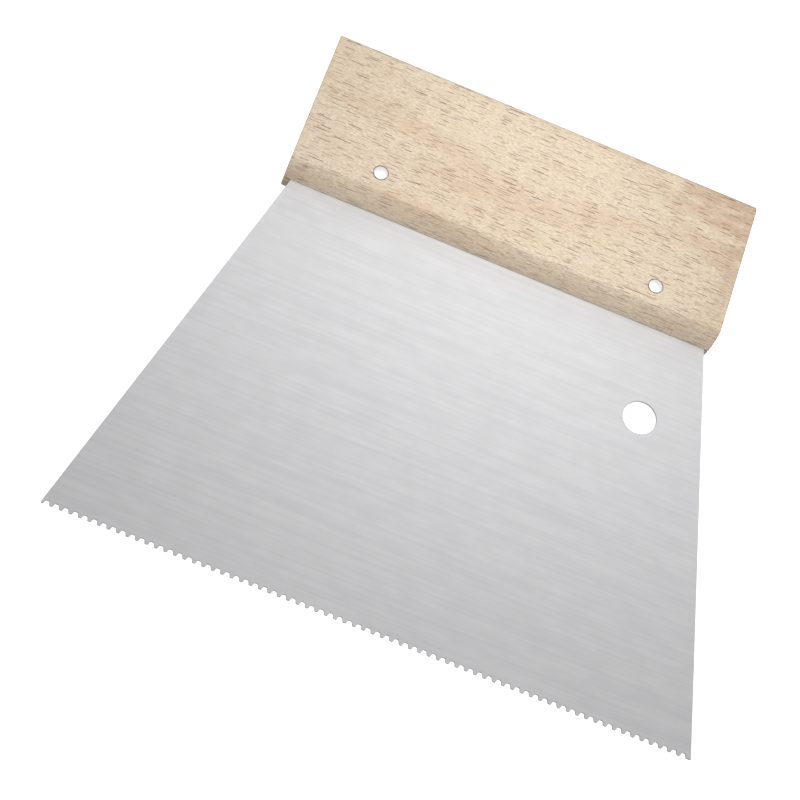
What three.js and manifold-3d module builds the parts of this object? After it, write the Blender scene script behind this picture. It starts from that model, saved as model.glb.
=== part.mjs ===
// Notched trowel: a beech handle, a toothed steel blade held in the handle's saw kerf,
// and two rivets that pass through both. Millimetres, +Z up.
//
// Each piece is drawn in the tool's own axes: X along the toothed edge, Y from the teeth
// up to the handle, Z out of the front face, with the origin at the middle of the line
// of tooth tips, halfway through the blade. The whole tool is then tipped about X until
// it lies on its teeth and on the rear crease of the handle, as it does on a bench.
import * as THREE from 'three';
import { mergeVertices } from 'three/addons/utils/BufferGeometryUtils.js';
import Module from 'manifold-3d';

const wasm = await Module();
wasm.setup();

// ---- driving dimensions ----

// Blade
const bladeThickness = 0.8;
const toothedEdgeWidth = 208.4;     // across the tooth tips
const bladeWidthAtHandle = 144;     // where the blade enters the handle
const bladeReach = 131.5;           // tooth tips to handle
const bladeInKerf = 18;             // length of blade inside the handle
const toothPitch = 3;
const gapCount = 69;
const gapDepth = 1.3;
const gapMouth = 2.0;               // width at the tooth tips
const gapFloor = 1.1;               // width at the bottom of a gap
const gapRowShift = -0.4;           // the row of gaps sits left of the blade's middle
const hangingHole = { x: 58.5, y: 100, radius: 5.6 };

// Handle
const handleLength = 148;
const handleHeight = 53;
const handleThickness = 20;
const handleShift = -0.5;           // the handle sits left of the blade's middle
const topEdgeRadius = 3.5;
const noseHeight = 3.2;             // from the kerf's mouth up to the crease
const noseBulge = 0.9;              // how far the nose stands out from a straight chamfer
const arcSteps = 8;

// Rivets
const rivetPlaces = { rivet_left: -46.3, rivet_right: 48.9 };
const rivetRise = 9.5;              // rivet centre above the kerf's mouth
const shankRadius = 1.6;
const headRadius = 2.3;
const headThickness = 0.6;
const domeHeight = 0.4;             // front head's crown above its rim
const backHeadSunk = 0.1;           // rear head below the handle's back
const roundSteps = 32;

// Clearance between neighbouring pieces
const clearance = 0.3;

// ---- derived dimensions ----
const halfBlade = bladeThickness / 2;
const halfHandle = handleThickness / 2;
const halfKerf = halfBlade + clearance;
const kerfDepth = bladeInKerf + clearance;
const rivetHeight = bladeReach + rivetRise;
const boreRadius = shankRadius + clearance;
const sideSlope = (toothedEdgeWidth - bladeWidthAtHandle) / 2 / bladeReach;
const creaseHeight = bladeReach + noseHeight;
const restingTilt = Math.atan((halfHandle - halfBlade) / creaseHeight);

// ---- materials ----
const beech = new THREE.MeshStandardMaterial({ color: '#e4d0b8', roughness: 0.6, metalness: 0 });
const springSteel = new THREE.MeshStandardMaterial({ color: '#cfd1d2', roughness: 0.35, metalness: 1 });
const rivetMetal = new THREE.MeshStandardMaterial({ color: '#e9e9ec', roughness: 0.3, metalness: 1 });

// ---- shared helpers ----

function toSolid(geometry) {
  const bare = geometry.clone();
  bare.deleteAttribute('normal');
  bare.deleteAttribute('uv');
  const merged = mergeVertices(bare, 1e-5);
  return new wasm.Manifold(new wasm.Mesh({
    numProp: 3,
    vertProperties: Float32Array.from(merged.attributes.position.array),
    triVerts: Uint32Array.from(merged.index.array),
  }));
}

function toGeometry(solid) {
  const mesh = solid.getMesh();
  const geometry = new THREE.BufferGeometry();
  geometry.setAttribute('position', new THREE.BufferAttribute(mesh.vertProperties, 3));
  geometry.setIndex(new THREE.BufferAttribute(mesh.triVerts, 1));
  geometry.computeVertexNormals();
  return geometry;
}

// A closed profile of [radius, z] points, turned about Z.
function turned(profile) {
  const points = profile.map(([radius, z]) => new THREE.Vector2(radius, z));
  return new THREE.LatheGeometry(points, roundSteps).rotateX(Math.PI / 2);
}

function circleHole(x, y, radius) {
  return new THREE.Path().absarc(x, y, radius, 0, 2 * Math.PI, true);
}

// ---- blade ----

// Outline of the plate: a row of trapezoid gaps along the bottom, sloping sides that run
// on into the kerf, the hanging hole, and one hole for each rivet.
function bladeGeometry() {
  const halfEdge = toothedEdgeWidth / 2;
  const top = bladeReach + bladeInKerf;
  const halfTop = halfEdge - sideSlope * top;
  const outline = new THREE.Shape();
  outline.moveTo(-halfEdge, 0);
  for (let i = 0; i < gapCount; i++) {
    const middle = gapRowShift + (i - (gapCount - 1) / 2) * toothPitch;
    outline.lineTo(middle - gapMouth / 2, 0);
    outline.lineTo(middle - gapFloor / 2, gapDepth);
    outline.lineTo(middle + gapFloor / 2, gapDepth);
    outline.lineTo(middle + gapMouth / 2, 0);
  }
  outline.lineTo(halfEdge, 0);
  outline.lineTo(halfTop, top);
  outline.lineTo(-halfTop, top);
  outline.closePath();
  outline.holes.push(circleHole(hangingHole.x, hangingHole.y, hangingHole.radius));
  for (const x of Object.values(rivetPlaces)) {
    outline.holes.push(circleHole(x, rivetHeight, boreRadius));
  }
  const options = { depth: bladeThickness, bevelEnabled: false, curveSegments: roundSteps / 2 };
  return new THREE.ExtrudeGeometry(outline, options).translate(0, 0, -halfBlade);
}

// ---- handle ----

// The nose on one side of the kerf: points from the kerf's lip to the crease, on an arc
// that bulges away from the straight line between them. side is +1 in front, -1 behind.
function nosePoints(side) {
  const lip = new THREE.Vector2(bladeReach, side * halfKerf);
  const crease = new THREE.Vector2(creaseHeight, side * halfHandle);
  const outward = new THREE.Vector2(-(halfHandle - halfKerf), side * noseHeight).normalize();
  const points = [];
  for (let i = 0; i <= arcSteps; i++) {
    const share = i / arcSteps;
    const bulge = noseBulge * 4 * share * (1 - share);
    points.push(lip.clone().lerp(crease, share).addScaledVector(outward, bulge));
  }
  return points;
}

// Cross-section in the Y-Z plane: nose, flat face, rounded top edges, and the kerf sawn
// up into it. It is the same all along the handle.
function handleSection() {
  const top = bladeReach + handleHeight;
  const corner = top - topEdgeRadius;
  const cornerZ = halfHandle - topEdgeRadius;
  const section = new THREE.Shape();
  section.setFromPoints(nosePoints(-1).reverse());
  section.lineTo(bladeReach + kerfDepth, -halfKerf);
  section.lineTo(bladeReach + kerfDepth, halfKerf);
  for (const point of nosePoints(1)) {
    section.lineTo(point.x, point.y);
  }
  section.absarc(corner, cornerZ, topEdgeRadius, Math.PI / 2, 0, true);
  section.absarc(corner, -cornerZ, topEdgeRadius, 0, -Math.PI / 2, true);
  section.closePath();
  return section;
}

// The stepped hole for one rivet: a bore right through, and a shallow seat for each head.
function rivetHole() {
  const seatRadius = headRadius + clearance;
  const frontSeat = halfHandle - headThickness - clearance;
  const backSeat = -(halfHandle - backHeadSunk - headThickness - clearance);
  const beyond = halfHandle + 1;
  return turned([
    [0, -beyond], [seatRadius, -beyond], [seatRadius, backSeat], [boreRadius, backSeat],
    [boreRadius, frontSeat], [seatRadius, frontSeat], [seatRadius, beyond], [0, beyond],
  ]);
}

function handleGeometry() {
  const options = { depth: handleLength, bevelEnabled: false, curveSegments: arcSteps };
  const alongX = new THREE.Matrix4().makeBasis(
    new THREE.Vector3(0, 1, 0), new THREE.Vector3(0, 0, 1), new THREE.Vector3(1, 0, 0));
  const bar = new THREE.ExtrudeGeometry(handleSection(), options)
    .applyMatrix4(alongX)
    .translate(handleShift - handleLength / 2, 0, 0);
  let solid = toSolid(bar);
  for (const x of Object.values(rivetPlaces)) {
    solid = solid.subtract(toSolid(rivetHole().translate(x, rivetHeight, 0)));
  }
  return toGeometry(solid);
}

// ---- rivets ----

// Domed head level with the handle's front, shank, and a flat head formed at the back.
function rivetGeometry() {
  const dome = [];
  for (let i = 0; i <= arcSteps; i++) {
    const radius = headRadius * (1 - i / arcSteps);
    dome.push([radius, halfHandle + domeHeight * (1 - (radius / headRadius) ** 2)]);
  }
  const back = -(halfHandle - backHeadSunk);
  return turned([
    [0, back], [headRadius, back], [headRadius, back + headThickness],
    [shankRadius, back + headThickness], [shankRadius, halfHandle - headThickness],
    [headRadius, halfHandle - headThickness], ...dome,
  ]);
}

// ---- assembly ----

const tool = new THREE.Group();

const handle = new THREE.Mesh(handleGeometry(), beech);
handle.name = 'handle';
tool.add(handle);

const blade = new THREE.Mesh(bladeGeometry(), springSteel);
blade.name = 'blade';
tool.add(blade);

for (const [name, x] of Object.entries(rivetPlaces)) {
  const rivet = new THREE.Mesh(rivetGeometry(), rivetMetal);
  rivet.name = name;
  rivet.position.set(x, rivetHeight, 0);
  tool.add(rivet);
}

tool.rotation.x = restingTilt;

// The origin is on the bench, under the middle of the tipped tool's box.
const box = new THREE.Box3().setFromObject(tool, true);
const middle = box.getCenter(new THREE.Vector3());
tool.position.set(-middle.x, -middle.y, -box.min.z);

const group = new THREE.Group();
group.add(tool);

export default group;
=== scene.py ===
"""A notched trowel: a beech handle, a toothed steel blade held in its kerf, and two rivets through both."""

import math

import bmesh
import bpy
import numpy as np
from mathutils import Matrix, Vector


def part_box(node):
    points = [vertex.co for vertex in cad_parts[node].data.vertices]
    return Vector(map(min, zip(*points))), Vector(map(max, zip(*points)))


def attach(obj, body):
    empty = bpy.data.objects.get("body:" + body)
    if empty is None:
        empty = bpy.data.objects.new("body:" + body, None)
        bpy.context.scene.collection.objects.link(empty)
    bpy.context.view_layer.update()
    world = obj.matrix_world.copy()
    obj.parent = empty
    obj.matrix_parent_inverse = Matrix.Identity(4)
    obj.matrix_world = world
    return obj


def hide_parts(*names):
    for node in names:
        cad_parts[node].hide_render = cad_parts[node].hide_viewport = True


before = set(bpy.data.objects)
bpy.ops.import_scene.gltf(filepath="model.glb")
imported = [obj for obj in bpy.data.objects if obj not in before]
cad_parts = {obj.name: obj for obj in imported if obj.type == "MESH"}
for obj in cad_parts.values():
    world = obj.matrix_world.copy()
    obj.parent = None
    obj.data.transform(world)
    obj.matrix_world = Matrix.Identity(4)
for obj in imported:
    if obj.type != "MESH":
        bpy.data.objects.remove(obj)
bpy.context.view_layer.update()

MM = 0.001

# ---------------------------------------------------------------------------------------------
# How the tool lies. Each piece is worked out in the tool's own axes: X along the toothed edge,
# Y from the teeth up to the handle, Z out of the front face, from the middle of the tooth tips.
# The tool rests on its teeth and on the rear crease of the handle, which tips it about X.
# ---------------------------------------------------------------------------------------------
HALF_BLADE = 0.4 * MM
HALF_HANDLE = 10 * MM
BLADE_REACH = 131.5 * MM      # from the tooth tips to the handle
NOSE_HEIGHT = 3.2 * MM        # from there to the crease of the handle
TILT = math.atan((HALF_HANDLE - HALF_BLADE) / (BLADE_REACH + NOSE_HEIGHT))

TIPS = Vector((0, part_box("blade")[0][1] + HALF_BLADE * math.sin(TILT), HALF_BLADE * math.cos(TILT)))
LYING = Matrix.Translation(TIPS) @ Matrix.Rotation(TILT, 4, "X")


def lay_down(name, mesh, node):
    """A mesh in tool axes, turned and moved to where the tool lies, standing for one CAD node."""
    mesh.transform(LYING)
    piece = bpy.data.objects.new(name, mesh)
    bpy.context.scene.collection.objects.link(piece)
    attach(piece, "root")
    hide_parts(node)
    return piece


# ---------------------------------------------------------------------------------------------
# Handle. One planed beech bar with rounded top edges, a blunt nose and a saw kerf along its
# bottom for the blade. Its ends are cut square and sanded only enough to take the sharpness off.
# Two bored holes, opened out at both faces, take the rivets.
# ---------------------------------------------------------------------------------------------
HANDLE_LENGTH = 148 * MM
HANDLE_HEIGHT = 53 * MM
HANDLE_SHIFT = -0.5 * MM
TOP_RADIUS = 3.5 * MM
NOSE_BULGE = 0.9 * MM
CREASE_EASE = 0.45 * MM
CLEARANCE = 0.3 * MM
HALF_KERF = HALF_BLADE + CLEARANCE
KERF_DEPTH = 18.3 * MM
END_ROUND = 0.5 * MM
KERF_END_ROUND = 0.12 * MM
HANDLE_STEP = 1.2 * MM
TOP_STEPS = 12
END_STEPS = 6
HAIR = 0.01 * MM

RIVETS = {"rivet_left": -46.3 * MM, "rivet_right": 48.9 * MM}
RIVET_HEIGHT = BLADE_REACH + 9.5 * MM
BORE_RADIUS = 1.9 * MM
SEAT_RADIUS = 2.6 * MM
FRONT_SEAT = HALF_HANDLE - 0.9 * MM
BACK_SEAT = HALF_HANDLE - 1.0 * MM
SEAT_CHAMFER = 0.1 * MM
BIT_OVERRUN = 1 * MM
TURNED_SIDES = 72


def run(start, end, step=HANDLE_STEP):
    """Evenly spaced points along a straight line, without its last point."""
    start, end = np.asarray(start, float), np.asarray(end, float)
    count = max(1, round(float(np.linalg.norm(end - start)) / step))
    return start + (end - start) * (np.arange(count) / count)[:, None]


def arc(centre, radius, start, end, steps):
    """Points on a circle between two angles in degrees, as (first, second) pairs."""
    angle = np.radians(np.linspace(start, end, steps + 1))
    return np.stack([centre[0] + radius * np.cos(angle), centre[1] + radius * np.sin(angle)], 1)


def eased(before, corner, after, reach, steps=4):
    """A corner eased by a quadratic curve that starts and ends one reach away along its sides."""
    before, corner, after = (np.asarray(point, float) for point in (before, corner, after))
    start = corner + (before - corner) * (reach / np.linalg.norm(before - corner))
    end = corner + (after - corner) * (reach / np.linalg.norm(after - corner))
    share = np.linspace(0, 1, steps + 1)[:, None]
    return start * (1 - share) ** 2 + corner * 2 * share * (1 - share) + end * share ** 2


def nose(side, steps=14):
    """Kerf lip to crease: a straight line pushed out by a bulge that is greatest halfway."""
    lip = np.array([BLADE_REACH, side * HALF_KERF])
    crease = np.array([BLADE_REACH + NOSE_HEIGHT, side * HALF_HANDLE])
    outward = np.array([HALF_KERF - HALF_HANDLE, side * NOSE_HEIGHT])
    outward /= np.linalg.norm(outward)
    share = np.linspace(0, 1, steps + 1)[:, None]
    return lip + (crease - lip) * share + outward * NOSE_BULGE * 4 * share * (1 - share)


def handle_section():
    """The bar's closed (y, z) outline, anticlockwise: kerf floor, back wall of the kerf, back of
    the nose, up the back, over the top, down the front, front of the nose, front kerf wall."""
    shoulder = BLADE_REACH + HANDLE_HEIGHT - TOP_RADIUS
    flat = HALF_HANDLE - TOP_RADIUS
    top = shoulder + TOP_RADIUS
    kerf_floor = BLADE_REACH + KERF_DEPTH
    back_nose, front_nose = nose(-1), nose(1)
    back_crease = eased(back_nose[-2], back_nose[-1], (shoulder, -HALF_HANDLE), CREASE_EASE)
    front_crease = eased((shoulder, HALF_HANDLE), front_nose[-1], front_nose[-2], CREASE_EASE)
    return np.concatenate([
        run((kerf_floor, HALF_KERF), (kerf_floor, -HALF_KERF)),
        run((kerf_floor, -HALF_KERF), (BLADE_REACH, -HALF_KERF)),
        back_nose[:-1],
        back_crease,
        run(back_crease[-1], (shoulder, -HALF_HANDLE))[1:],
        arc((shoulder, -flat), TOP_RADIUS, -90, 0, TOP_STEPS)[:-1],
        run((top, -flat), (top, flat)),
        arc((shoulder, flat), TOP_RADIUS, 0, 90, TOP_STEPS)[:-1],
        run((shoulder, HALF_HANDLE), front_crease[0]),
        front_crease,
        front_nose[-2:0:-1],
        run((BLADE_REACH, HALF_KERF), (kerf_floor, HALF_KERF)),
    ])


def handle_surface():
    """The section carried along X. Near each end it draws in along a quarter circle, the kerf
    less than the outside, and one flat face closes it."""
    section = handle_section()
    along = np.roll(section, -1, 0) - np.roll(section, 1, 0)
    outward = np.stack([along[:, 1], -along[:, 0]], 1) / np.linalg.norm(along, axis=1)[:, None]
    inside_kerf = np.abs(section[:, 1]) < HALF_KERF + HAIR
    end_round = np.where(inside_kerf, KERF_END_ROUND, END_ROUND)

    half = HANDLE_LENGTH / 2
    turn = np.radians(np.linspace(0, 90, END_STEPS + 1))
    end_x = -half + END_ROUND * (1 - np.cos(turn))
    stops = round(HANDLE_LENGTH / HANDLE_STEP)
    middle_x = np.linspace(-half + END_ROUND, half - END_ROUND, stops)[1:-1]
    x = np.concatenate([end_x, middle_x, -end_x[::-1]]) + HANDLE_SHIFT
    drawn_in = np.concatenate([1 - np.sin(turn), middle_x * 0, 1 - np.sin(turn[::-1])])

    outline = section[None] - outward[None] * end_round[None, :, None] * drawn_in[:, None, None]
    points = np.concatenate([np.broadcast_to(x[:, None, None], (*outline.shape[:2], 1)), outline], 2)
    stations, width = outline.shape[:2]
    row, column = np.meshgrid(np.arange(stations - 1), np.arange(width), indexing="ij")
    after = (column + 1) % width
    sides = np.stack([row * width + column, row * width + after,
                      (row + 1) * width + after, (row + 1) * width + column], -1).reshape(-1, 4)
    low_end = np.arange(width)[::-1]
    high_end = np.arange(width) + (stations - 1) * width
    return points.reshape(-1, 3), [*sides.tolist(), low_end.tolist(), high_end.tolist()]


def turned(profile, place, sides=TURNED_SIDES):
    """A solid turned about Z: each (radius, z) of a profile that starts at the bottom of the axis
    and ends at its top is carried round in equal steps, and a fan closes each end to one pole."""
    inner = profile[1:-1]
    angle = np.linspace(0, 2 * np.pi, sides, endpoint=False)
    ring = np.stack([np.cos(angle), np.sin(angle)], 1)
    body = np.concatenate([inner[:, None, :1] * ring[None],
                           np.broadcast_to(inner[:, None, 1:], (len(inner), sides, 1))], 2)
    poles = [[0, 0, profile[0][1]], [0, 0, profile[-1][1]]]
    row, column = np.meshgrid(np.arange(len(inner) - 1), np.arange(sides), indexing="ij")
    after = (column + 1) % sides
    quads = np.stack([row * sides + column, row * sides + after,
                      (row + 1) * sides + after, (row + 1) * sides + column], -1).reshape(-1, 4)
    around = np.arange(sides)
    onward = (around + 1) % sides
    last, pole = (len(inner) - 1) * sides, len(inner) * sides
    bottom = np.stack([onward, around, np.full(sides, pole)], 1)
    crown = np.stack([last + around, last + onward, np.full(sides, pole + 1)], 1)
    points = np.concatenate([body.reshape(-1, 3), poles]) + np.asarray(place)
    return points, [*quads.tolist(), *bottom.tolist(), *crown.tolist()]


def as_mesh(name, points, faces):
    """A mesh of these points and faces."""
    mesh = bpy.data.meshes.new(name)
    mesh.from_pydata(np.asarray(points).tolist(), [], faces)
    return mesh


def bore_profile():
    """Up the axis of a rivet hole: back chamfer, back seat, bore, front seat, front chamfer."""
    past = HALF_HANDLE + BIT_OVERRUN
    chamfer = HALF_HANDLE - SEAT_CHAMFER
    widest = SEAT_RADIUS + past - chamfer
    return np.array([
        (0, -past), (widest, -past), (SEAT_RADIUS, -chamfer), (SEAT_RADIUS, -BACK_SEAT),
        (BORE_RADIUS, -BACK_SEAT), (BORE_RADIUS, FRONT_SEAT), (SEAT_RADIUS, FRONT_SEAT),
        (SEAT_RADIUS, chamfer), (widest, past), (0, past),
    ])


def bored(mesh):
    """The mesh with both rivet holes cut through it."""
    bar = bpy.data.objects.new("bar", mesh)
    bpy.context.scene.collection.objects.link(bar)
    bits = []
    for x in RIVETS.values():
        bit = bpy.data.objects.new("bit", as_mesh("bit", *turned(bore_profile(), (x, RIVET_HEIGHT, 0))))
        bpy.context.scene.collection.objects.link(bit)
        cut = bar.modifiers.new("bore", "BOOLEAN")
        cut.operation = "DIFFERENCE"
        cut.solver = "EXACT"
        cut.object = bit
        bits.append(bit)
    shaped = bpy.data.meshes.new_from_object(bar.evaluated_get(bpy.context.evaluated_depsgraph_get()))
    for helper in (bar, *bits):
        bpy.data.objects.remove(helper)
    return shaped


def smooth(mesh, sharp_above):
    """Smooth shading, with edges kept sharp where faces meet at more than an angle in degrees."""
    mesh.shade_smooth()
    mesh.set_sharp_from_angle(angle=math.radians(sharp_above))


class Finish:
    """A material's nodes, with one short call for each kind that these finishes need."""

    def __init__(self, name):
        self.material = bpy.data.materials.new(name)
        self.material.use_nodes = True
        self.nodes = self.material.node_tree.nodes
        self.links = self.material.node_tree.links
        self.shader = self.nodes["Principled BSDF"]

    def put(self, socket, value):
        """Link a socket to another node's output, or give it a plain value."""
        if isinstance(value, bpy.types.NodeSocket):
            self.links.new(value, socket)
        else:
            socket.default_value = value

    def set(self, **values):
        """The shader's own inputs by name, with underscores for spaces."""
        for name, value in values.items():
            self.put(self.shader.inputs[name.replace("_", " ")], value)

    def tool_axes(self):
        """Object coordinates turned back into the tool's own axes."""
        coordinates = self.nodes.new("ShaderNodeTexCoord")
        mapping = self.nodes.new("ShaderNodeMapping")
        mapping.vector_type = "TEXTURE"
        mapping.inputs["Location"].default_value = TIPS
        mapping.inputs["Rotation"].default_value = (TILT, 0, 0)
        self.links.new(coordinates.outputs["Object"], mapping.inputs["Vector"])
        return mapping.outputs["Vector"]

    def vector(self, operation, a, b):
        node = self.nodes.new("ShaderNodeVectorMath")
        node.operation = operation
        self.put(node.inputs[0], a)
        self.put(node.inputs[1], b)
        return node.outputs["Vector"]

    def per(self, place, x, y, z):
        """The place measured in steps of these lengths along the three axes."""
        return self.vector("MULTIPLY", place, (1 / x, 1 / y, 1 / z))

    def number(self, operation, *values):
        node = self.nodes.new("ShaderNodeMath")
        node.operation = operation
        for socket, value in zip(node.inputs, values):
            self.put(socket, value)
        return node.outputs["Value"]

    def parts(self, vector):
        node = self.nodes.new("ShaderNodeSeparateXYZ")
        self.links.new(vector, node.inputs[0])
        return node.outputs

    def joined(self, x, y, z):
        node = self.nodes.new("ShaderNodeCombineXYZ")
        for socket, value in zip(node.inputs, (x, y, z)):
            self.put(socket, value)
        return node.outputs["Vector"]

    def noise(self, place, detail=2.0, roughness=0.5, colour=False):
        node = self.nodes.new("ShaderNodeTexNoise")
        node.inputs["Scale"].default_value = 1
        node.inputs["Detail"].default_value = detail
        node.inputs["Roughness"].default_value = roughness
        self.links.new(place, node.inputs["Vector"])
        return node.outputs["Color" if colour else "Fac"]

    def ramp(self, value, low, high, out_low=0.0, out_high=1.0):
        """A smooth step from one value to another."""
        node = self.nodes.new("ShaderNodeMapRange")
        node.interpolation_type = "SMOOTHSTEP"
        for socket, number in zip(node.inputs, (value, low, high, out_low, out_high)):
            self.put(socket, number)
        return node.outputs["Result"]

    def mix(self, share, a, b):
        """A colour between a and b. A colour mix takes them at its sockets 6 and 7, and gives the
        result at 2."""
        node = self.nodes.new("ShaderNodeMix")
        node.data_type = "RGBA"
        for socket, value in zip((node.inputs[0], node.inputs[6], node.inputs[7]), (share, a, b)):
            self.put(socket, value)
        return node.outputs[2]

    def bump(self, height, distance, strength, under=None):
        node = self.nodes.new("ShaderNodeBump")
        node.inputs["Distance"].default_value = distance
        node.inputs["Strength"].default_value = strength
        self.links.new(height, node.inputs["Height"])
        if under is not None:
            self.links.new(under, node.inputs["Normal"])
        return node.outputs["Normal"]


def paint(red, green, blue):
    """A display colour of 0 to 255 as the linear colour that a shader takes."""
    share = np.array([red, green, blue]) / 255
    curve = np.where(share <= 0.04045, share / 12.92, ((share + 0.055) / 1.055) ** 2.4)
    return (*map(float, curve), 1.0)


FLECK_SCATTER = 0.8                   # how far the lattice strays from an even one
FLECK_REACH = 0.16                    # half length of the shortest fleck, in cells
FLECK_REACH_SPREAD = 0.24             # how much more the longest has
FLECK_INTO = 0.6                      # how far a fleck runs into the wood, in cells
FLECK_THINS = 0.5                     # how much of the rim's fall its edge takes to thin out
FLECK_FADES = 0.1                     # and how much its colour takes to fade
FLECK_EDGE = (-0.02 * MM, 0.05 * MM)  # its edge blurs from the first to the second, inwards
FLECK_FAINTEST = 0.4
FLECK_SPREAD = 0.6                    # how much stronger the strongest is than the faintest


def flecks(finish, place, length, spacing, depth, share, thickness):
    """Ray flecks: a share of the cells of a stretched random lattice each hold one thin plate, which
    lies along the grain and runs into the wood. With rim = 1 - (along / reach)^2 - (into / 0.6)^2,
    it is thickness across where rim is over a half, and thins smoothly to nothing where rim is 0.
    1 is a strong fleck, and 0 is none."""
    lattice = finish.per(place, length, spacing, depth)
    cell = finish.nodes.new("ShaderNodeTexVoronoi")
    cell.inputs["Scale"].default_value = 1
    cell.inputs["Randomness"].default_value = FLECK_SCATTER
    finish.links.new(lattice, cell.inputs["Vector"])
    off_x, off_y, off_z = finish.parts(finish.vector("SUBTRACT", lattice, cell.outputs["Position"]))
    chance, size, strength = finish.parts(cell.outputs["Color"])
    reach = finish.number("MULTIPLY_ADD", size, FLECK_REACH_SPREAD, FLECK_REACH)
    along = finish.number("POWER", finish.number("DIVIDE", off_x, reach), 2.0)
    into = finish.number("POWER", finish.number("DIVIDE", off_z, FLECK_INTO), 2.0)
    rim = finish.number("SUBTRACT", finish.number("SUBTRACT", 1.0, along), into)
    half = finish.ramp(rim, 0.0, FLECK_THINS, 0.0, thickness / 2)
    aside = finish.number("MULTIPLY", finish.number("ABSOLUTE", off_y), spacing)
    inside = finish.ramp(finish.number("SUBTRACT", half, aside), *FLECK_EDGE)
    inside = finish.number("MULTIPLY", inside, finish.ramp(rim, 0.0, FLECK_FADES))
    weight = finish.number("MULTIPLY_ADD", strength, FLECK_SPREAD, FLECK_FAINTEST)
    shown = finish.number("MULTIPLY", finish.number("LESS_THAN", chance, share), weight)
    return finish.number("MULTIPLY", inside, shown)


# Colours of the wood, from palest to darkest
CREAM = paint(220, 206, 182)
STRAW = paint(220, 205, 184)
TAN = paint(204, 181, 155)
PINK = paint(196, 170, 145)
FAINT_LINE = paint(182, 151, 119)
OPEN_GRAIN = paint(166, 138, 110)
SHORT_FLECK = paint(146, 102, 72)
MIDDLE_FLECK = paint(116, 74, 50)
LONG_FLECK = paint(98, 58, 38)

# Size of each pattern along the grain, across it and into the wood
DRIFT = (45 * MM, 14 * MM, 14 * MM)
WANDER = (3 * MM, 1.2 * MM, 1.2 * MM)
CLOUD = (17 * MM, 5 * MM, 5 * MM)
SHADE = (60 * MM, 13 * MM, 13 * MM)
LINES = (14 * MM, 0.7 * MM, 0.7 * MM)
SHORT = (1.2 * MM, 0.26 * MM, 0.26 * MM)
PINK_CORNER = (195 * MM, 250 * MM)

# Length, spacing across, depth, share of cells that hold one, and thickness
LONG_FLECKS = (9 * MM, 1.3 * MM, 0.5 * MM, 0.85, 0.24 * MM)
MIDDLE_FLECKS = (7 * MM, 1.1 * MM, 0.5 * MM, 0.7, 0.2 * MM)
SHORT_FLECKS = (4.5 * MM, 0.8 * MM, 0.5 * MM, 0.5, 0.17 * MM)
MIDDLE_ELSEWHERE = (0.31, 0.72, 0.13)
SHORT_ELSEWHERE = (0.57, 0.24, 0.41)


def sway(finish, place, size, reach):
    """A smooth random shift across the grain and into the wood: (noise - 0.5) * reach."""
    noise = finish.noise(finish.per(place, *size), 1.0, 0.5, colour=True)
    centred = finish.vector("SUBTRACT", noise, (0.5, 0.5, 0.5))
    return finish.vector("MULTIPLY", centred, (0, reach, reach))


def beech_finish():
    """Pale beech, planed: clouds of cream and straw, pinker towards one top corner, with fine short
    grain, long faint lines and three sizes of dark ray fleck. The flecks and the open grain are a
    little sunk."""
    finish = Finish("beech")
    place = finish.tool_axes()
    drift = sway(finish, place, DRIFT, 2 * MM)
    wander = sway(finish, place, WANDER, 0.1 * MM)
    grain = finish.vector("ADD", finish.vector("ADD", place, drift), wander)

    cloud = finish.noise(finish.per(grain, *CLOUD), 2.0, 0.5)
    shade = finish.noise(finish.per(grain, *SHADE), 2.0, 0.5)
    lines = finish.noise(finish.per(grain, *LINES), 2.0, 0.6)
    short = finish.noise(finish.per(grain, *SHORT), 2.0, 0.6)

    wood = finish.mix(finish.ramp(cloud, 0.3, 0.7), CREAM, STRAW)
    wood = finish.mix(finish.ramp(shade, 0.45, 0.75, 0.0, 0.6), wood, TAN)
    x, y = finish.parts(grain)[:2]
    corner = finish.ramp(finish.number("ADD", x, y), *PINK_CORNER)
    corner = finish.number("MULTIPLY", corner, finish.ramp(cloud, 0.3, 0.6))
    wood = finish.mix(corner, wood, PINK)
    wood = finish.mix(finish.ramp(lines, 0.45, 0.75, 0.0, 0.25), wood, FAINT_LINE)
    wood = finish.mix(finish.ramp(short, 0.4, 0.7, 0.0, 0.55), wood, OPEN_GRAIN)

    # The flecks' height is y + |z|, which keeps changing round the rounded top, so that no fleck
    # there lies flush with the surface and shows as a blot.
    depth = finish.parts(place)[2]
    round_corners = finish.joined(x, finish.number("ADD", y, finish.number("ABSOLUTE", depth)), depth)
    long_flecks = flecks(finish, round_corners, *LONG_FLECKS)
    middle_place = finish.vector("ADD", round_corners, MIDDLE_ELSEWHERE)
    middle_flecks = flecks(finish, middle_place, *MIDDLE_FLECKS)
    short_place = finish.vector("ADD", round_corners, SHORT_ELSEWHERE)
    short_flecks = flecks(finish, short_place, *SHORT_FLECKS)
    wood = finish.mix(finish.number("MULTIPLY", short_flecks, 0.5), wood, SHORT_FLECK)
    wood = finish.mix(finish.number("MULTIPLY", middle_flecks, 0.75), wood, MIDDLE_FLECK)
    wood = finish.mix(finish.number("MULTIPLY", long_flecks, 0.95), wood, LONG_FLECK)

    sunk = finish.number("MAXIMUM", long_flecks, middle_flecks)
    relief = finish.number("SUBTRACT", finish.ramp(short, 0.75, 0.4), sunk)
    finish.set(
        Base_Color=wood,
        Roughness=finish.ramp(short, 0.3, 0.75, 0.5, 0.64),
        Specular_IOR_Level=0.35,
        Normal=finish.bump(relief, 0.03 * MM, 0.4),
    )
    return finish.material


handle = lay_down("beech_handle", bored(as_mesh("beech_handle", *handle_surface())), "handle")
handle.data.materials.append(beech_finish())
smooth(handle.data, 35)

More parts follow.
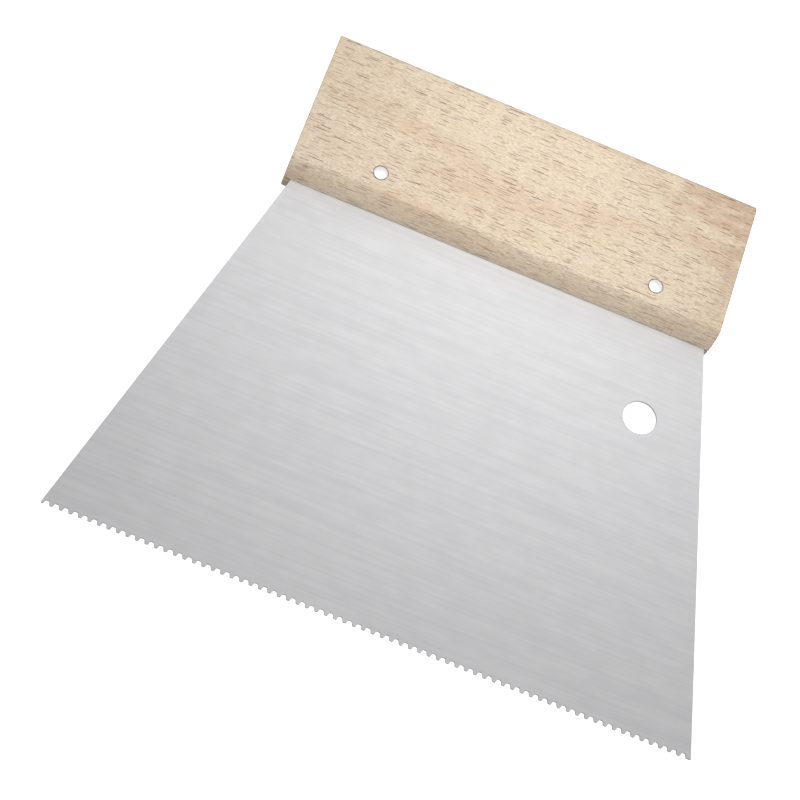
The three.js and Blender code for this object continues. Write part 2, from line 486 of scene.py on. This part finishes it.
# ---------------------------------------------------------------------------------------------
# Blade. One sheet of spring steel, wider at its toothed edge, with a row of punched notches, a
# hanging hole and two rivet holes. Its top sits in the kerf. Both faces are brushed along the
# teeth, and the edges are left as sheared, with only their burr taken off.
# ---------------------------------------------------------------------------------------------
TOOTHED_WIDTH = 208.4 * MM
WIDTH_AT_HANDLE = 144 * MM
BLADE_IN_KERF = 18 * MM
BURR = 0.06 * MM
CORNER_EASE = 0.35 * MM
NOTCHES = 69
PITCH = 3 * MM
NOTCH_SHIFT = -0.4 * MM
NOTCH_DEPTH = 1.3 * MM
NOTCH_MOUTH = 2.0 * MM
NOTCH_FLOOR = 1.1 * MM
TIP_EASE = 0.22 * MM
FLOOR_EASE = 0.35 * MM
HANGING_HOLE = (58.5 * MM, 100 * MM)
HANGING_RADIUS = 5.6 * MM
RIVET_HOLE_RADIUS = 1.9 * MM
HANGING_STEPS = 96
RIVET_HOLE_STEPS = 48
WELD = 0.001 * MM
FLAT_FACE = 0.999


def notch():
    """One notch from left to right: a trapezoid with all four corners eased."""
    corners = [(-PITCH / 2, 0), (-NOTCH_MOUTH / 2, 0), (-NOTCH_FLOOR / 2, NOTCH_DEPTH),
               (NOTCH_FLOOR / 2, NOTCH_DEPTH), (NOTCH_MOUTH / 2, 0), (PITCH / 2, 0)]
    eases = [TIP_EASE, FLOOR_EASE, FLOOR_EASE, TIP_EASE]
    return np.concatenate([eased(*corners[i:i + 3], eases[i]) for i in range(4)])


def blade_outline():
    """Anticlockwise: the same notch repeated at every pitch, then the two sides and the top."""
    centres = (np.arange(NOTCHES) - (NOTCHES - 1) / 2) * PITCH + NOTCH_SHIFT
    teeth = (notch()[None] + np.stack([centres, centres * 0], 1)[:, None]).reshape(-1, 2)
    top = BLADE_REACH + BLADE_IN_KERF
    low = TOOTHED_WIDTH / 2
    high = low - (TOOTHED_WIDTH - WIDTH_AT_HANDLE) / 2 * top / BLADE_REACH
    return np.concatenate([
        eased((-high, top), (-low, 0), (low, 0), CORNER_EASE),
        teeth,
        eased((-low, 0), (low, 0), (high, top), CORNER_EASE),
        eased((low, 0), (high, top), (-high, top), CORNER_EASE),
        eased((high, top), (-high, top), (-low, 0), CORNER_EASE),
    ])


def sheet_steel():
    """The outline and its holes filled between two flat faces, with the burr taken off by a small
    round along every edge."""
    curve = bpy.data.curves.new("blade_outline", "CURVE")
    curve.dimensions = "2D"
    curve.fill_mode = "BOTH"
    curve.extrude = HALF_BLADE - BURR
    curve.bevel_depth = BURR
    curve.bevel_resolution = 2
    curve.offset = -BURR
    hanging = arc(HANGING_HOLE, HANGING_RADIUS, 0, 360, HANGING_STEPS)[:-1]
    rivet_holes = [arc((x, RIVET_HEIGHT), RIVET_HOLE_RADIUS, 0, 360, RIVET_HOLE_STEPS)[:-1]
                   for x in RIVETS.values()]
    for loop in (blade_outline(), hanging, *rivet_holes):
        spline = curve.splines.new("POLY")
        spline.points.add(len(loop) - 1)
        spline.points.foreach_set("co", np.hstack([loop, loop[:, :1] * 0, loop[:, :1] * 0 + 1]).ravel())
        spline.use_cyclic_u = True
    drawn = bpy.data.objects.new("blade_outline", curve)
    bpy.context.scene.collection.objects.link(drawn)
    mesh = bpy.data.meshes.new_from_object(drawn.evaluated_get(bpy.context.evaluated_depsgraph_get()))
    bpy.data.objects.remove(drawn)

    joined = bmesh.new()
    joined.from_mesh(mesh)
    bmesh.ops.remove_doubles(joined, verts=joined.verts, dist=WELD)
    bmesh.ops.recalc_face_normals(joined, faces=joined.faces)
    joined.to_mesh(mesh)
    joined.free()
    smooth(mesh, 30)
    for face in mesh.polygons:
        face.use_smooth = abs(face.normal.z) < FLAT_FACE
    return mesh


STEEL = paint(224, 224, 225)
PALER_STEEL = paint(228, 228, 229)
STROKE = paint(217, 217, 219)

# Size of each pattern along the teeth and up the blade. All reach a metre through the sheet.
SCRATCHES = (30 * MM, 0.22 * MM, 1)
STROKES = (70 * MM, 1.3 * MM, 1)
MOTTLE = (9 * MM, 5 * MM, 1)
WAVES = (60 * MM, 45 * MM, 1)


def brushed_steel():
    """Satin steel under fine scratches that all run along the teeth, with faint long strokes, a
    faint mottle, and slow waves where the sheet isn't quite flat."""
    finish = Finish("spring_steel")
    place = finish.tool_axes()
    scratches = finish.noise(finish.per(place, *SCRATCHES), 3.0, 0.65)
    strokes = finish.noise(finish.per(place, *STROKES), 3.0, 0.6)
    mottle = finish.noise(finish.per(place, *MOTTLE), 3.0, 0.55)
    waves = finish.noise(finish.per(place, *WAVES), 1.0, 0.5)
    steel = finish.mix(finish.ramp(mottle, 0.3, 0.7), STEEL, PALER_STEEL)
    steel = finish.mix(finish.ramp(strokes, 0.35, 0.7, 0.0, 0.5), steel, STROKE)
    normal = finish.bump(scratches, 0.02 * MM, 0.25)
    normal = finish.bump(waves, 2 * MM, 0.12, under=normal)
    finish.set(
        Base_Color=steel,
        Metallic=1.0,
        Roughness=finish.ramp(scratches, 0.3, 0.75, 0.74, 0.82),
        Normal=normal,
    )
    return finish.material


blade = lay_down("steel_blade", sheet_steel(), "blade")
blade.data.materials.append(brushed_steel())

# ---------------------------------------------------------------------------------------------
# Rivets. Two bright aluminium rivets through handle and blade. In front each has a low domed
# head in a shallow seat; behind, a flat head is formed just below the wood.
# ---------------------------------------------------------------------------------------------
SHANK_RADIUS = 1.6 * MM
HEAD_RADIUS = 2.3 * MM
HEAD_THICKNESS = 0.6 * MM
DOME_HEIGHT = 0.4 * MM
BACK_SUNK = 0.1 * MM
RIM_ROUND = 0.15 * MM
RIM_STEPS = 5
DOME_STEPS = 13


def rivet_profile():
    """Up the axis: flat back head, its rim, the shank, the underside of the front head, its rim,
    and a dome whose height falls from the crown with the square of the radius."""
    back = BACK_SUNK - HALF_HANDLE
    underside = HALF_HANDLE - HEAD_THICKNESS
    flat = HEAD_RADIUS - RIM_ROUND
    radius = np.linspace(1, 0, DOME_STEPS + 1)[1:] * flat
    dome = np.stack([radius, HALF_HANDLE + DOME_HEIGHT * (1 - (radius / HEAD_RADIUS) ** 2)], 1)
    rim = HALF_HANDLE + DOME_HEIGHT * (1 - (flat / HEAD_RADIUS) ** 2) - RIM_ROUND
    return np.concatenate([
        [(0, back), (flat / 2, back)],
        arc((flat, back + RIM_ROUND), RIM_ROUND, -90, 0, RIM_STEPS),
        [(HEAD_RADIUS, back + HEAD_THICKNESS), (SHANK_RADIUS, back + HEAD_THICKNESS),
         (SHANK_RADIUS, underside), (HEAD_RADIUS, underside)],
        arc((flat, rim), RIM_ROUND, 0, 90, RIM_STEPS),
        dome,
    ])


ALUMINIUM = paint(240, 238, 244)
PALER_ALUMINIUM = paint(250, 250, 251)
SCUFF = 0.7 * MM
DENT = 1.9 * MM


def bright_rivet():
    """Aluminium, bright from the press, with small dents and scuffs."""
    finish = Finish("rivet_metal")
    place = finish.tool_axes()
    scuffs = finish.noise(finish.per(place, SCUFF, SCUFF, SCUFF), 4.0, 0.6)
    dents = finish.noise(finish.per(place, DENT, DENT, DENT), 2.0)
    finish.set(
        Base_Color=finish.mix(finish.ramp(scuffs, 0.3, 0.7), ALUMINIUM, PALER_ALUMINIUM),
        Metallic=1.0,
        Roughness=finish.ramp(scuffs, 0.3, 0.75, 0.5, 0.62),
        Normal=finish.bump(dents, 0.15 * MM, 0.4),
    )
    return finish.material


rivet_metal = bright_rivet()
for node, x in RIVETS.items():
    rivet = lay_down("bright_" + node, as_mesh(node, *turned(rivet_profile(), (x, RIVET_HEIGHT, 0))),
                     node)
    rivet.data.materials.append(rivet_metal)
    smooth(rivet.data, 40)

# ---------------------------------------------------------------------------------------------
# Studio. A white sweep of paper. It glows to the camera, so that it stays white, and only a little
# to everything else, so that it doesn't light the tool from below.
# ---------------------------------------------------------------------------------------------
FLOOR_HALF = 4.0
GLOW = 0.05          # to the tool
GLOW_SEEN = 0.95     # how much more to the camera

floor_mesh = as_mesh("floor", np.array([(-1, -1, 0), (1, -1, 0), (1, 1, 0), (-1, 1, 0)]) * FLOOR_HALF,
                     [[0, 1, 2, 3]])
floor = bpy.data.objects.new("floor", floor_mesh)
bpy.context.scene.collection.objects.link(floor)
paper = Finish("paper")
seen = paper.nodes.new("ShaderNodeLightPath").outputs["Is Camera Ray"]
paper.set(Base_Color=(0.5, 0.5, 0.5, 1), Roughness=1.0, Emission_Color=(1, 1, 1, 1),
          Emission_Strength=paper.number("MULTIPLY_ADD", seen, GLOW_SEEN, GLOW),
          Specular_IOR_Level=0.0)
floor.data.materials.append(paper.material)

# ---------------------------------------------------------------------------------------------
# Light. One soft lamp high over the handle, whose pool of light falls off towards the teeth, and
# even white surroundings.
# ---------------------------------------------------------------------------------------------
SURROUNDINGS = 0.675
POOL_CENTRE = Vector((0.003, 0.08, 0))
POOL_RADIUS = 0.17
LAMP_DISTANCE = 1.3
LAMP_LEAN = math.radians(10)
LAMP_RADIUS = 0.1
LAMP_POWER = 47

bpy.context.scene.view_settings.view_transform = "Standard"
surroundings = bpy.data.worlds.new("surroundings")
surroundings.use_nodes = True
surroundings.node_tree.nodes["Background"].inputs["Color"].default_value = (1, 1, 1, 1)
surroundings.node_tree.nodes["Background"].inputs["Strength"].default_value = SURROUNDINGS
bpy.context.scene.world = surroundings

lamp_data = bpy.data.lights.new("lamp", "SPOT")
lamp_data.spot_size = 2 * math.atan(POOL_RADIUS / LAMP_DISTANCE)
lamp_data.spot_blend = 1.0
lamp_data.shadow_soft_size = LAMP_RADIUS
lamp_data.energy = LAMP_POWER
lamp = bpy.data.objects.new("lamp", lamp_data)
lamp.matrix_world = (Matrix.Translation(POOL_CENTRE) @ Matrix.Rotation(LAMP_LEAN, 4, "X")
                     @ Matrix.Translation((0, 0, LAMP_DISTANCE)))
bpy.context.scene.collection.objects.link(lamp)

# ---------------------------------------------------------------------------------------------
# Camera. A long lens that looks down on the face, leans back from the teeth towards the handle,
# and is rolled so that the teeth run down to the right.
# ---------------------------------------------------------------------------------------------
CAMERA_AIM = Vector((-19.26 * MM, 87.15 * MM, 0))
CAMERA_DISTANCE = 730.4 * MM
CAMERA_LEAN = math.radians(25.93)
CAMERA_SIDE = math.radians(-3.97)
CAMERA_ROLL = math.radians(22.11)
CAMERA_LENS = 105.3
CAMERA_SENSOR = 36
CAMERA_SHIFT = -0.05

camera_data = bpy.data.cameras.new("camera")
camera_data.sensor_width = CAMERA_SENSOR
camera_data.lens = CAMERA_LENS
camera_data.shift_y = CAMERA_SHIFT
camera = bpy.data.objects.new("camera", camera_data)
bpy.context.scene.collection.objects.link(camera)
camera_turn = (Matrix.Rotation(CAMERA_LEAN, 4, "X") @ Matrix.Rotation(CAMERA_SIDE, 4, "Y")
               @ Matrix.Rotation(CAMERA_ROLL, 4, "Z"))
camera_back = Matrix.Translation(camera_turn @ Vector((0, 0, CAMERA_DISTANCE)))
camera.matrix_world = LYING @ Matrix.Translation(CAMERA_AIM) @ camera_back @ camera_turn
bpy.context.scene.camera = camera
